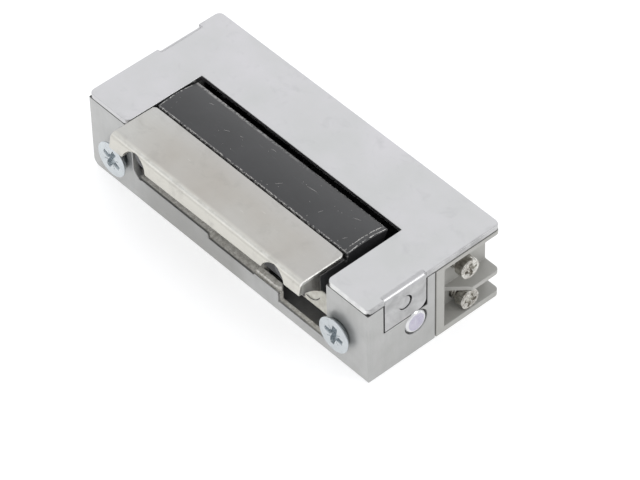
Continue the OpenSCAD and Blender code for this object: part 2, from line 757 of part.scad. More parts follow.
module armature_spring() color("#9a9ca0") from_corner() {
    z0 = barrel_z1 + light_clear;
    coil = [for (i = [0 : coil_steps * light_turns])
        let (a = 90 - 360 * i / coil_steps)
            [armature_pin_x + light_coil_r * cos(a), armature_pin_y + light_coil_r * sin(a),
                z0 + light_pitch * i / coil_steps]];
    leg_x = armature_x1 + light_wire_r + leg_clear;
    wire(concat([for (x = light_leg) [armature_pin_x - x, armature_pin_y + light_coil_r, z0]], coil,
        [for (y = [1, 2, 3]) [leg_x, armature_pin_y - y, z0 + light_pitch * light_turns]]), light_wire_r);
}

// Each lead runs over the coil's rear flange and down to the top of its own contact strip.
lead_r = 0.35;
lead_y = [24.4, 21.2];
lead_start = [[52.2, 14.15], [53.2, 14.2], [54.4, 14.2], [55.3, 13.9], [55.8, 12.9]];
lead_mid = [56.1, 11.6];
lead_end_x = [56.2, 56.3];
lead_above = [[1.35, 1.2], [2.6, 1.6]];

module coil_leads() color("#9c3b31") from_corner()
    for (i = [0, 1]) {
        y = lead_y[i];
        wire(concat([for (p = lead_start) [p[0], y, p[1]]],
            [[lead_mid[0], (y + strip_y) / 2, lead_mid[1]]],
            [for (k = [0, 1]) [lead_end_x[k], strip_y, strip_z[1 - i] + lead_above[i][k]]]), lead_r);
    }

insulation_t = 0.3;
insulation_gap = [0.3, 0.1, 0.05];  // to the end wall, the back wall and the cover

module insulating_sheet() color("#dcd6c2") from_corner()
    block([yoke_x0, yoke_y0 - insulation_gap[2], housing_top - insulation_gap[2] - insulation_t],
        [room_x1 - insulation_gap[0], room_y1 - insulation_gap[1], housing_top - insulation_gap[2]]);

// ---- terminals ----

block_top = 14.75;
flange_z0 = 13.9;
fin_z = [4.9, 5.8];
recess_y0 = 16.1;
wall_x = body_l - recess_d;
nut_x = [60.2, 62.5];
nut_half = [2.5, 1.6];
nut_gap = [0.1, 0.05];
shank_x0 = 60.4;
terminal_head_r = 1.85;
terminal_head_x = [64.5, 66.45];
terminal_turn = 30;                 // how the screws' recesses happen to stand
terminal_recess_span = 2.3;
block_corner_r = 0.9;
fin_cut = [[wall_x + 0.4, 19], [65.9, 21.6], [body_l + past, 23]];   // the fin's slanted back corner

module terminal_block() color(plastic) from_corner()
    difference() {
        union() {
            difference() {
                linear_extrude(block_top)
                    difference() {
                        translate([block_x0, block_y0])
                            square([body_l - block_x0, body_d - block_y0]);
                        difference() {
                            translate([body_l - block_corner_r, body_d - block_corner_r])
                                square(block_corner_r + hair);
                            translate([body_l - block_corner_r, body_d - block_corner_r])
                                circle(block_corner_r);
                        }
                    }
                block([wall_x, recess_y0, fin_z[1]], [body_l + past, body_d + past, flange_z0]);
                block([wall_x, recess_y0, floor_t], [body_l + past, body_d + past, fin_z[0]]);
                translate([0, 0, floor_t]) linear_extrude(fin_z[1] - floor_t + hair)
                    polygon([[wall_x, recess_y0], [body_l + past, recess_y0],
                        fin_cut[2], fin_cut[1], fin_cut[0]]);
            }
            block([block_x0 - key_out, block_y0 + key_y[0], key_z[0]],
                [block_x0 + lap, block_y0 + key_y[1], key_z[1]]);
        }
        for (z = strip_z) {
            block([block_x0 - past, terminal_y - nut_half[0] - nut_gap[0], z - nut_half[1] - nut_gap[1]],
                [nut_x[1] + nut_gap[0], terminal_y + nut_half[0] + nut_gap[0],
                    z + nut_half[1] + nut_gap[1]]);
            bore_x(nut_x[0], body_l, terminal_y, z, screw_m3_r + clamp_hole_gap);
        }
    }

module terminal_screws() color(bright) from_corner()
    for (z = strip_z)
        translate([0, terminal_y, z]) rotate([0, 90, 0])
            difference() {
                union() {
                    translate([0, 0, terminal_head_x[0]])
                        cylinder(h = terminal_head_x[1] - terminal_head_x[0], r = terminal_head_r);
                    translate([0, 0, shank_x0])
                        cylinder(h = terminal_head_x[0] - shank_x0 + hair, r = screw_m3_r);
                }
                translate([0, 0, terminal_head_x[1]]) rotate([0, 0, terminal_turn])
                    cross_recess(terminal_recess_span, m3_recess[1], m3_recess[2]);
            }

module terminal_nuts() color("#c9b27a") from_corner()
    for (z = strip_z)
        difference() {
            block([nut_x[0], terminal_y - nut_half[0], z - nut_half[1]],
                [nut_x[1], terminal_y + nut_half[0], z + nut_half[1]]);
            bore_x(nut_x[0] - past, nut_x[1] + past, terminal_y, z, screw_m3_r);
        }

module contact_strips() color("#c8a24e") from_corner()
    for (z = strip_z)
        block([room_x1 - strip_end, strip_y - strip_half[0], z - strip_half[1]],
            [nut_x[0], strip_y + strip_half[0], z + strip_half[1]]);

// ---- faceplate screws ----

head_rim = 0.25;
head_out = [1.55, 1.15];                         // how far each head stands proud of the front face
head_turn = [20, 35];
faceplate_recess = [3.8, 0.75, 1.4];
faceplate_screw_l = 7.6;

module faceplate_screws() color(bright) from_corner()
    for (i = [0, 1])
        translate([faceplate_x[i], -head_out[i], faceplate_z]) rotate([-90, 0, 0]) {
            shank_r = faceplate_screw_r - running_gap / 2;
            cone_h = faceplate_head_r - shank_r;
            difference() {
                union() {
                    cylinder(h = head_rim, r = faceplate_head_r);
                    translate([0, 0, head_rim])
                        cylinder(h = cone_h, r1 = faceplate_head_r, r2 = shank_r);
                    cylinder(h = faceplate_screw_l, r = shank_r);
                }
                mirror([0, 0, 1]) rotate([0, 0, head_turn[i]])
                    cross_recess(faceplate_recess[0], faceplate_recess[1], faceplate_recess[2]);
            }
        }

housing();
cover_plate();
keeper_swivel();
keeper_nose();
keeper_clamp_screws();
keeper_pivot_pin();
keeper_return_spring();
locking_lever();
lever_pin();
lever_clip();
lever_spring();
armature();
armature_pin();
armature_spring();
coil_bobbin();
coil_winding();
coil_tape();
coil_core();
magnet_yoke();
coil_leads();
insulating_sheet();
terminal_block();
terminal_screws();
terminal_nuts();
contact_strips();
faceplate_screws();
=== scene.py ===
# The looks of an electric door strike: satin die-cast body, plated cover, black swivel with a bright nose.
import json
import math
import random

import bmesh
import bpy
from mathutils import Matrix, Vector


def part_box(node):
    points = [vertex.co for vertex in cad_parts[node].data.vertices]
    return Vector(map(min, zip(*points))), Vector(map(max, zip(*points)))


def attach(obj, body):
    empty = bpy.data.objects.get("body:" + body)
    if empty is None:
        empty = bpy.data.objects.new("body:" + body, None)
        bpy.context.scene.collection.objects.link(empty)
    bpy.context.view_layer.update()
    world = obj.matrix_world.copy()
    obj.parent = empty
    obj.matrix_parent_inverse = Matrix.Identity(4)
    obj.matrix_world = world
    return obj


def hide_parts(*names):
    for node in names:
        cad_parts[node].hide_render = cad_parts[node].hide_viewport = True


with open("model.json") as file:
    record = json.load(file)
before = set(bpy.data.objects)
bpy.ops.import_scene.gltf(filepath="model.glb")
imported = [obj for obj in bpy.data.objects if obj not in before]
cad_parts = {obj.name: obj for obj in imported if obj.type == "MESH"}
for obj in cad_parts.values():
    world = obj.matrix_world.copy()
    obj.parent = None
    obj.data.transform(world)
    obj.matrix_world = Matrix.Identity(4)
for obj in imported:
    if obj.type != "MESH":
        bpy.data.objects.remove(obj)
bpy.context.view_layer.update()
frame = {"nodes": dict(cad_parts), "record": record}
cad = frame["nodes"]

MM = 0.001
QUARTER = math.pi / 2
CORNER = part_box("housing")[0]          # left front bottom corner of the body
LENGTH, DEPTH, HEIGHT = (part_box("cover_plate")[1] - CORNER) / MM
KEEPER_PIVOT = (10.1, 6.6)             # y and z of the keeper's pivot line, in millimetres from the corner
HOLLOW, HOLLOW_R = (-4.2, 7.2), 6.35   # y, z and radius of the latch's hollow in the nose and the swivel
MIX_A, MIX_B, MIX_RESULT = 6, 7, 2     # the colour sockets of a mix node


def at(x, y, z):
    """A place given in millimetres from the body's left front bottom corner, in the frame's metres."""
    return CORNER + Vector((x, y, z)) * MM


def box_mm(node):
    """A node's lowest and highest corners in millimetres from the body's corner."""
    low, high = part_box(node)
    return (Vector(low) - CORNER) / MM, (Vector(high) - CORNER) / MM


# ---- camera, floor and light ----

def add_camera():
    azimuth, elevation, roll = math.radians(49.019), math.radians(45.93), math.radians(-1.413)
    distance, aim_right, aim_up = 625.254, 4.442, -7.692
    back = Vector((math.sin(azimuth) * math.cos(elevation), -math.cos(azimuth) * math.cos(elevation),
                   math.sin(elevation)))
    right = Vector((math.cos(azimuth), math.sin(azimuth), 0))
    up = back.cross(right)
    right, up = (right * math.cos(roll) + up * math.sin(roll), up * math.cos(roll) - right * math.sin(roll))
    data = bpy.data.cameras.new("camera")
    data.sensor_width = 36
    data.lens = 220.61
    data.clip_end = 20
    camera = bpy.data.objects.new("camera", data)
    turn = Matrix((right, up, back)).transposed().to_4x4()
    middle = at(LENGTH / 2, DEPTH / 2, HEIGHT / 2)
    place = middle + (right * aim_right + up * aim_up + back * distance) * MM
    camera.matrix_world = Matrix.Translation(place) @ turn
    bpy.context.scene.collection.objects.link(camera)
    bpy.context.scene.camera = camera


def add_light(name, size, power, place):
    """A soft rectangle of light that faces the object."""
    data = bpy.data.lights.new(name, "AREA")
    data.shape = "RECTANGLE"
    data.size, data.size_y = size
    data.energy = power
    light = bpy.data.objects.new(name, data)
    light.location = place
    light.rotation_euler = (-Vector(place)).to_track_quat("-Z", "Y").to_euler()
    bpy.context.scene.collection.objects.link(light)


def add_stage():
    bpy.ops.mesh.primitive_plane_add(size=6)
    floor = bpy.context.object
    floor.name = "floor"
    material = bpy.data.materials.new("floor")
    material.use_nodes = True
    shader = material.node_tree.nodes["Principled BSDF"]
    shader.inputs["Base Color"].default_value = (0.72, 0.72, 0.72, 1)
    shader.inputs["Emission Color"].default_value = (1, 1, 1, 1)
    shader.inputs["Emission Strength"].default_value = 0.5
    shader.inputs["Roughness"].default_value = 0.9
    shader.inputs["Specular IOR Level"].default_value = 0.1
    floor.data.materials.append(material)
    world = bpy.data.worlds.new("studio")
    world.use_nodes = True
    background = world.node_tree.nodes["Background"]
    background.inputs["Color"].default_value = (0.97, 0.98, 1, 1)
    background.inputs["Strength"].default_value = 0.86
    bpy.context.scene.world = world
    add_light("top_tent", (0.6, 0.6), 0.35, (-0.33, 0.28, 0.46))
    add_light("front_left", (0.4, 0.26), 0.22, (-0.38, -0.5, 0.36))
    add_light("over_camera", (0.2, 0.2), 0.22, (0.44, -0.4, 0.56))
    add_light("right_back", (0.12, 0.09), 0.42, (0.5, 0.32, 0.36))
    add_light("low_back", (0.4, 0.1), 0.16, (-0.37, 0.55, 0.24))
    bpy.context.scene.view_settings.view_transform = "Standard"


# ---- materials ----

class Finish:
    """A node material in the making: each method adds a node and gives its output."""

    def __init__(self, name, metallic=0.0, roughness=0.5, **sockets):
        self.material = bpy.data.materials.new(name)
        self.material.use_nodes = True
        self.tree = self.material.node_tree
        self.shader = self.tree.nodes["Principled BSDF"]
        self.shader.inputs["Metallic"].default_value = metallic
        self.shader.inputs["Roughness"].default_value = roughness
        for socket, value in sockets.items():
            self.shader.inputs[socket.replace("_", " ")].default_value = value
        self.coords = self.add("ShaderNodeTexCoord").outputs["Object"]
        self.height = None

    def add(self, kind, **settings):
        node = self.tree.nodes.new(kind)
        for name, value in settings.items():
            setattr(node, name, value)
        return node

    def link(self, source, socket):
        if isinstance(source, (int, float)):
            socket.default_value = source
        elif isinstance(source, tuple):
            socket.default_value = source if len(source) != 3 or socket.type == "VECTOR" else (*source, 1)
        else:
            self.tree.links.new(source, socket)

    def stretch(self, scale, turn=(0, 0, 0)):
        node = self.add("ShaderNodeMapping")
        node.inputs["Scale"].default_value = scale
        node.inputs["Rotation"].default_value = turn
        self.link(self.coords, node.inputs["Vector"])
        return node.outputs["Vector"]

    def place(self):
        """The three coordinates in millimetres from the body's corner."""
        split = self.add("ShaderNodeSeparateXYZ")
        self.link(self.coords, split.inputs[0])
        return [self.math("MULTIPLY_ADD", split.outputs[i], 1 / MM, -CORNER[i] / MM) for i in range(3)]

    def noise(self, per_mm, detail=3.0, roughness=0.5, coords=None, distortion=0.0):
        node = self.add("ShaderNodeTexNoise")
        node.inputs["Scale"].default_value = per_mm / MM
        node.inputs["Detail"].default_value = detail
        node.inputs["Roughness"].default_value = roughness
        node.inputs["Distortion"].default_value = distortion
        self.link(coords or self.coords, node.inputs["Vector"])
        return node.outputs["Fac"]

    def remap(self, source, low, high, to_low=0.0, to_high=1.0):
        node = self.add("ShaderNodeMapRange")
        for name, value in (("From Min", low), ("From Max", high), ("To Min", to_low), ("To Max", to_high)):
            node.inputs[name].default_value = value
        self.link(source, node.inputs["Value"])
        return node.outputs["Result"]

    def band(self, value, low, high, soft):
        """1 where a value lies between low and high, with soft edges."""
        rise = self.remap(value, low - soft, low + soft)
        fall = self.remap(value, high - soft, high + soft, 1, 0)
        return self.math("MULTIPLY", rise, fall)

    def math(self, operation, a, b, c=None):
        node = self.add("ShaderNodeMath", operation=operation)
        self.link(a, node.inputs[0])
        self.link(b, node.inputs[1])
        if c is not None:
            self.link(c, node.inputs[2])
        return node.outputs[0]

    def times(self, first, *others):
        for other in others:
            first = self.math("MULTIPLY", first, other)
        return first

    def most(self, first, *others):
        for other in others:
            first = self.math("MAXIMUM", first, other)
        return first

    def distance(self, y, z, centre):
        """Distance in millimetres from a line along x that runs through the centre's y and z."""
        across = self.math("POWER", self.math("SUBTRACT", y, centre[0]), 2)
        along = self.math("POWER", self.math("SUBTRACT", z, centre[1]), 2)
        return self.math("SQRT", self.math("ADD", across, along), 0)

    def mix(self, factor, a, b):
        node = self.add("ShaderNodeMix", data_type="RGBA")
        self.link(factor, node.inputs[0])
        self.link(a, node.inputs[MIX_A])
        self.link(b, node.inputs[MIX_B])
        return node.outputs[MIX_RESULT]

    def bump(self, height, distance_mm, strength=1.0):
        node = self.add("ShaderNodeBump")
        node.inputs["Distance"].default_value = distance_mm * MM
        node.inputs["Strength"].default_value = strength
        self.link(height, node.inputs["Height"])
        if self.height:
            self.link(self.height, node.inputs["Normal"])
        self.height = node.outputs["Normal"]

    def scratches(self, along, across, turn, low=0.68, high=0.76):
        """Fine straight marks: noise drawn out along one direction and cut to its peaks."""
        lines = self.noise(1, 2, 0.6, self.stretch((along, across, across), turn))
        return self.remap(lines, low, high)

    def done(self, colour=None, roughness=None):
        if colour:
            self.link(colour, self.shader.inputs["Base Color"])
        if roughness:
            self.link(roughness, self.shader.inputs["Roughness"])
        if self.height:
            self.link(self.height, self.shader.inputs["Normal"])
        return self.material


def die_cast_zinc():
    """The body, cast and left as it came out of the die, with painted shade where the cover meets it."""
    f = Finish("die_cast_zinc", roughness=0.45)
    x, y, z = f.place()
    cloud = f.noise(0.22, 4, 0.6)
    grain = f.noise(5, 3, 0.6)
    mottle = f.noise(1.5, 5, 0.75)
    streak = f.noise(1, 3, 0.5, f.stretch((0.9, 0.9, 0.06)))
    colour = f.mix(f.remap(cloud, 0.3, 0.7), (0.43, 0.43, 0.42), (0.53, 0.53, 0.525))
    colour = f.mix(f.remap(streak, 0.35, 0.75, 0, 0.3), colour, (0.38, 0.385, 0.38))
    colour = f.mix(f.remap(grain, 0.62, 0.72, 0, 0.2), colour, (0.3, 0.3, 0.29))
    # rough as-cast land behind the rim, and the pale shelf by the keeper's right end
    land = f.times(f.band(y, 0.5, 3.7, 0.15), f.band(z, 1.4, 4.72, 0.08), f.band(x, 10.3, 56.8, 0.3))
    dirt = f.mix(f.remap(mottle, 0.36, 0.66), (0.5, 0.48, 0.43), (0.92, 0.9, 0.84))
    colour = f.mix(land, colour, dirt)
    shelf = f.times(f.band(y, 2.2, 8, 0.1), f.band(z, 4.5, 5.3, 0.15), f.band(x, 46.5, 57.2, 0.2))
    colour = f.mix(shelf, colour, (0.97, 0.96, 0.87))
    # a darker, mottled strip low on the front wall, and a darker right end
    strip = f.times(f.band(y, -0.3, 0.5, 0.05), f.band(z, -1, 4.8, 0.1), f.band(x, 13, 37, 2.5),
                    f.remap(cloud, 0.25, 0.6, 0.55, 1), 0.55)
    colour = f.mix(strip, colour, (0.27, 0.265, 0.25))
    # painted shade: the right end is darkened against the right-back lamp's light
    colour = f.mix(f.remap(x, 66, 66.4, 0, 0.3), colour, (0.36, 0.36, 0.35))
    # painted shade: near black in the seam under the cover and in the recesses behind its tabs
    seam = f.times(f.remap(z, 14.84, 14.92), f.remap(f.noise(0.8, 3), 0.3, 0.5, 0.6, 0.95))
    right_tab = f.times(f.band(x, 65, 66.32, 0.04), f.band(y, 3.2, 12.6, 0.03))
    left_tab = f.times(f.band(x, 0.18, 1.5, 0.04), f.band(y, 14.3, 23.7, 0.03))
    recess = f.times(f.most(right_tab, left_tab), f.remap(z, 8.7, 8.74))
    painted_shade = f.most(seam, recess)
    colour = f.mix(painted_shade, colour, (0.02, 0.019, 0.018))
    scuff = f.scratches(0.5, 5, (0.3, 0.9, 0.5), 0.7, 0.76)
    colour = f.mix(f.times(scuff, 0.35), colour, (0.7, 0.7, 0.7))
    dent = f.scratches(0.6, 4, (1.2, 0.4, 0.2), 0.72, 0.77)
    colour = f.mix(f.times(dent, 0.4), colour, (0.2, 0.2, 0.19))
    dull = f.most(land, shelf, painted_shade)
    f.link(f.math("MULTIPLY_ADD", dull, -0.72, 0.75), f.shader.inputs["Metallic"])
    f.bump(grain, 0.014, 0.6)
    f.bump(f.noise(1.2, 2), 0.04, 0.4)
    f.bump(f.noise(0.35, 3, 0.6), 0.16, 0.35)
    f.bump(f.times(mottle, land), 0.12, 0.6)
    return f.done(colour, f.math("ADD", f.remap(cloud, 0.3, 0.7, 0.33, 0.44), f.times(dull, 0.3)))


def plated_sheet():
    """The cover: cloudy plate with drawn-out scratches."""
    f = Finish("plated_sheet", metallic=1, roughness=0.36)
    x, y, z = f.place()
    cloud = f.noise(0.09, 4, 0.55)
    smudge = f.noise(0.35, 3, 0.6, distortion=0.6)
    colour = f.mix(f.remap(cloud, 0.32, 0.68), (0.545, 0.548, 0.545), (0.615, 0.605, 0.62))
    colour = f.mix(f.remap(smudge, 0.58, 0.75, 0, 0.45), colour, (0.5, 0.5, 0.505))
    line = f.most(f.scratches(0.35, 6, (0, 0, 0.5), 0.72, 0.78),
                  f.scratches(0.25, 5, (0, 0, -0.9), 0.74, 0.8))
    colour = f.mix(f.times(line, 0.35), colour, (0.75, 0.75, 0.76))
    # a darker right end, and a painted highlight on the right arm's front edge
    end_tone = f.mix(f.remap(smudge, 0.35, 0.65), (0.34, 0.34, 0.34), (0.5, 0.5, 0.5))
    colour = f.mix(f.remap(x, 66.1, 66.45, 0, 0.85), colour, end_tone)
    front = f.times(f.remap(y, 0.22, 0.08), f.remap(x, 57, 57.4))
    front_edge_highlight = f.times(front, f.remap(f.noise(0.7, 3), 0.3, 0.55, 0.4, 1))
    colour = f.mix(front_edge_highlight, colour, (0.78, 0.78, 0.77))
    # painted shade: a dark seam along the sheet's lower edge, broken by the two tabs and that front edge
    right_tab = f.times(f.band(x, 65, 67, 0.1), f.band(y, 3.5, 12.3, 0.05))
    left_tab = f.times(f.band(x, -1, 1.5, 0.1), f.band(y, 14.6, 23.4, 0.05))
    broken = f.most(right_tab, left_tab, f.times(front, 0.6))
    seam = f.times(f.remap(z, 15.16, 15.08), f.math("SUBTRACT", 1, broken), f.remap(z, 14.9, 14.95), 0.85)
    colour = f.mix(seam, colour, (0.05, 0.05, 0.05))
    f.bump(f.noise(1, 3, 0.6, f.stretch((1.2, 7, 7))), 0.006, 0.5)
    f.bump(f.noise(7, 2), 0.004, 0.5)
    return f.done(colour, f.math("ADD", f.remap(cloud, 0.3, 0.7, 0.33, 0.4),
                                 f.remap(smudge, 0.55, 0.8, 0, 0.08)))


def black_paint():
    """The swivel: satin paint, rubbed and worn at its edges."""
    f = Finish("black_paint", roughness=0.4, Specular_IOR_Level=0.6)
    x, y, z = f.place()
    cloud = f.noise(0.12, 4, 0.6)
    colour = f.mix(f.remap(cloud, 0.3, 0.7), (0.024, 0.024, 0.025), (0.038, 0.038, 0.04))
    # paint worn through along the top's front and back edges
    worn = f.noise(2.5, 4, 0.7)
    front = f.times(f.band(y, 6.05, 6.5, 0.1), f.remap(worn, 0.5, 0.6))
    back = f.times(f.band(y, 14.25, 15.3, 0.2), f.remap(worn, 0.42, 0.54), f.remap(x, 40, 22, 0.1, 1))
    edge = f.times(f.most(front, back), f.remap(z, 14.8, 15.1), 0.85)
    colour = f.mix(edge, colour, (0.36, 0.35, 0.34))
    rub = f.most(f.scratches(0.3, 4, (0, 0, 0.7), 0.69, 0.78), f.scratches(0.3, 4, (0, 0, -0.25), 0.71, 0.8))
    colour = f.mix(f.times(rub, 0.4), colour, (0.16, 0.16, 0.16))
    # the latch has rubbed its hollow bare at the right end
    bare = f.times(f.remap(f.distance(y, z, HOLLOW), HOLLOW_R + 0.25, HOLLOW_R + 0.15),
                   f.remap(x, 49.6, 49.9))
    stain = f.remap(f.noise(0.9, 4, 0.6), 0.35, 0.65)
    colour = f.mix(bare, colour, f.mix(stain, (0.5, 0.48, 0.42), (0.66, 0.65, 0.585)))
    f.bump(f.noise(2.2, 2), 0.006, 0.5)
    return f.done(colour, f.remap(cloud, 0.3, 0.7, 0.36, 0.44))


def nickel_nose():
    """The nose: warm nickel plate, brushed along its length."""
    f = Finish("nickel_nose", metallic=1, roughness=0.3)
    x, y, z = f.place()
    cloud = f.noise(0.07, 3, 0.5)
    brush = f.noise(1, 3, 0.6, f.stretch((0.12, 3.5, 3.5)))
    colour = f.mix(f.remap(cloud, 0.3, 0.7), (0.43, 0.405, 0.37), (0.485, 0.475, 0.45))
    # the tone changes towards both ends and the plate's back, and the lip gets painted light
    colour = f.mix(f.remap(x, 46, 54, 0, 0.5), colour, (0.46, 0.45, 0.435))
    colour = f.mix(f.remap(x, 20, 12, 0, 0.5), colour, (0.55, 0.55, 0.53))
    colour = f.mix(f.remap(y, 2.5, 5.5, 0, 0.35), colour, (0.52, 0.52, 0.52))
    # painted light: the lip is made lighter than the plate, most towards its top
    lip = f.times(f.remap(y, -2.4, -3.1), f.remap(z, 12, 15.6, 0.55, 1))
    colour = f.mix(lip, colour, (0.62, 0.605, 0.555))
    colour = f.mix(f.remap(brush, 0.45, 0.75, 0, 0.15), colour, (0.4, 0.39, 0.36))
    # painted highlights along the ridge and on the right end's top edge
    ridge = f.times(f.band(y, -3.3, -2.95, 0.2), f.remap(f.noise(0.7, 4, 0.7), 0.38, 0.6, 0.3, 1), 0.85)
    colour = f.mix(ridge, colour, (0.8, 0.79, 0.75))
    end_edge_highlight = f.times(f.remap(x, 54.84, 54.95), f.remap(z, 15.3, 15.6),
                       f.remap(f.noise(0.9, 3), 0.3, 0.5, 0.5, 1))
    colour = f.mix(end_edge_highlight, colour, (0.95, 0.94, 0.9))
    mark = f.scratches(0.4, 6, (0, 0, 1.2), 0.71, 0.78)
    colour = f.mix(f.times(mark, 0.55), colour, (0.75, 0.74, 0.7))
    stain = f.noise(0.3, 5, 0.65, distortion=0.4)
    colour = f.mix(f.remap(stain, 0.52, 0.68, 0, 0.4), colour, (0.37, 0.36, 0.335))
    f.bump(brush, 0.003, 0.35)
    f.bump(f.noise(0.3, 2), 0.03, 0.25)
    f.bump(f.noise(0.9, 3, 0.6), 0.012, 0.4)
    return f.done(colour, f.remap(f.noise(0.5, 4, 0.6), 0.3, 0.7, 0.3, 0.4))


def darker(colour, share):
    return tuple(c * (1 - share) for c in colour)


def metal(name, colour, roughness, tarnish=0.25):
    """Plain metal with a cloud of tarnish and fine tumbling marks."""
    f = Finish(name, metallic=1, roughness=roughness)
    cloud = f.noise(0.6, 4, 0.6)
    tumble = f.noise(4, 3, 0.6)
    base = f.mix(f.remap(cloud, 0.35, 0.75, 0, 0.8), colour, darker(colour, tarnish))
    base = f.mix(f.remap(tumble, 0.62, 0.75, 0, 0.5), base, darker(colour, 0.4))
    f.bump(tumble, 0.006, 0.6)
    return f.done(base, f.remap(cloud, 0.3, 0.7, roughness * 0.85, roughness * 1.15))


def plastic(name, colour, roughness, fade=0.12):
    """Moulded plastic: a fine eroded grain and a faint uneven tone."""
    f = Finish(name, roughness=roughness, Specular_IOR_Level=0.45)
    cloud = f.noise(0.25, 3, 0.5)
    grain = f.noise(9, 2)
    base = f.mix(f.remap(cloud, 0.3, 0.7, 0, 0.6), colour, darker(colour, fade))
    f.bump(grain, 0.01, 0.5)
    return f.done(base, f.remap(grain, 0.3, 0.7, roughness * 0.9, roughness * 1.1))


def rivet_steel():
    """The pivot pin: a violet tint on its end, inside a bright rim."""
    f = Finish("rivet_steel", metallic=1, roughness=0.28)
    _, y, z = f.place()
    wobble = f.remap(f.noise(1.2, 3), 0.3, 0.7, -0.12, 0.12)
    rim = f.remap(f.math("ADD", f.distance(y, z, KEEPER_PIVOT), wobble), 1.6, 1.75)
    cloud = f.noise(0.8, 3, 0.6)
    face = f.mix(f.remap(cloud, 0.35, 0.65), (0.47, 0.45, 0.55), (0.56, 0.54, 0.62))
    f.bump(f.noise(4, 3, 0.6), 0.006, 0.6)
    return f.done(f.mix(rim, face, (0.72, 0.72, 0.73)), f.remap(cloud, 0.3, 0.7, 0.24, 0.34))


def bright_zinc():
    """Bluish zinc plate on the faceplate screws, a darker and warmer plate on the terminal screws."""
    f = Finish("bright_zinc", metallic=1, roughness=0.24)
    x, y, _ = f.place()
    cloud = f.noise(0.6, 4, 0.6)
    tumble = f.noise(4, 3, 0.6)
    streak = f.noise(1, 3, 0.6, f.stretch((0.5, 3, 3)))
    blue = f.mix(f.remap(cloud, 0.35, 0.75, 0, 0.8), (0.6, 0.635, 0.655), (0.51, 0.54, 0.56))
    warm = f.mix(f.remap(cloud, 0.38, 0.62), (0.32, 0.3, 0.27), (0.68, 0.67, 0.63))
    warm = f.mix(f.remap(streak, 0.5, 0.62, 0, 0.7), warm, (0.24, 0.22, 0.19))
    at_terminals = f.times(f.remap(x, 60.2, 60.3), f.remap(y, 19, 19.2))
    colour = f.mix(at_terminals, blue, warm)
    colour = f.mix(f.remap(tumble, 0.62, 0.75, 0, 0.4), colour, (0.36, 0.38, 0.39))
    f.bump(tumble, 0.006, 0.6)
    return f.done(colour, f.remap(cloud, 0.3, 0.7, 0.2, 0.28))


def winding_tape():
    f = Finish("winding_tape", roughness=0.6, Specular_IOR_Level=0.3)
    weave = f.noise(1, 2, 0.5, f.stretch((6, 1.5, 6)))
    f.bump(weave, 0.02, 0.6)
    colour = f.mix(weave, (0.018, 0.018, 0.02), (0.04, 0.04, 0.043))
    return f.done(colour, f.remap(weave, 0.3, 0.7, 0.55, 0.7))


def copper_wire():
    f = Finish("copper_wire", metallic=1, roughness=0.3)
    turns = f.add("ShaderNodeTexWave", bands_direction="X", wave_profile="SIN")
    turns.inputs["Scale"].default_value = 0.8 / MM
    f.link(f.coords, turns.inputs["Vector"])
    f.bump(turns.outputs["Fac"], 0.08, 0.8)
    return f.done(f.mix(turns.outputs["Fac"], (0.3, 0.1, 0.04), (0.62, 0.25, 0.1)))


FINISHES = {
    "die_cast_zinc": die_cast_zinc(),
    "plated_sheet": plated_sheet(),
    "black_paint": black_paint(),
    "nickel_nose": nickel_nose(),
    "dark_steel": metal("dark_steel", (0.1, 0.1, 0.105), 0.38),
    "rivet_steel": rivet_steel(),
    "spring_steel": metal("spring_steel", (0.42, 0.42, 0.43), 0.3),
    "lever_steel": metal("lever_steel", (0.5, 0.5, 0.52), 0.35),
    "pin_steel": metal("pin_steel", (0.6, 0.6, 0.62), 0.2, 0.1),
    "magnet_iron": metal("magnet_iron", (0.33, 0.34, 0.36), 0.4),
    "bobbin_plastic": plastic("bobbin_plastic", (0.03, 0.03, 0.033), 0.45),
    "copper_wire": copper_wire(),
    "winding_tape": winding_tape(),
    "lead_insulation": plastic("lead_insulation", (0.36, 0.04, 0.035), 0.4),
    "fibre_sheet": plastic("fibre_sheet", (0.5, 0.45, 0.35), 0.65, 0.2),
    "terminal_plastic": plastic("terminal_plastic", (0.405, 0.4, 0.375), 0.42),
    "bright_zinc": bright_zinc(),
    "brass_part": metal("brass_part", (0.65, 0.48, 0.2), 0.25),
}


# ---- rounding ----

def weld(obj):
    obj.modifiers.new("weld", "WELD").merge_threshold = 1e-6


def smooth_shading(obj):
    for polygon in obj.data.polygons:
        polygon.use_smooth = True


def keep_inside(obj, node):
    """Holds a rounded mesh inside a CAD node's box, so a bevel's corner can't stand out of it."""
    tree = bpy.data.node_groups.new("keep_inside_" + node, "GeometryNodeTree")
    tree.interface.new_socket("Geometry", in_out="INPUT", socket_type="NodeSocketGeometry")
    tree.interface.new_socket("Geometry", in_out="OUTPUT", socket_type="NodeSocketGeometry")
    start, end = tree.nodes.new("NodeGroupInput"), tree.nodes.new("NodeGroupOutput")
    value = tree.nodes.new("GeometryNodeInputPosition").outputs[0]
    for operation, corner in zip(("MAXIMUM", "MINIMUM"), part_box(node)):
        limit = tree.nodes.new("ShaderNodeVectorMath")
        limit.operation = operation
        limit.inputs[1].default_value = corner
        tree.links.new(value, limit.inputs[0])
        value = limit.outputs[0]
    move = tree.nodes.new("GeometryNodeSetPosition")
    tree.links.new(start.outputs[0], move.inputs["Geometry"])
    tree.links.new(value, move.inputs["Position"])
    tree.links.new(move.outputs[0], end.inputs[0])
    obj.modifiers.new("keep_inside", "NODES").node_group = tree


def round_edges(obj, width, angle, node):
    """Rounds edges sharper than an angle by a fillet of this width in millimetres, in the node's box."""
    bevel = obj.modifiers.new("bevel", "BEVEL")
    bevel.width = width * MM
    bevel.segments = 3
    bevel.limit_method = "ANGLE"
    bevel.angle_limit = math.radians(angle)
    bevel.use_clamp_overlap = False
    bevel.miter_outer = "MITER_ARC"
    keep_inside(obj, node)
    normals = obj.modifiers.new("normals", "WEIGHTED_NORMAL")
    normals.mode = "FACE_AREA_WITH_ANGLE"
    normals.weight = 100
    smooth_shading(obj)


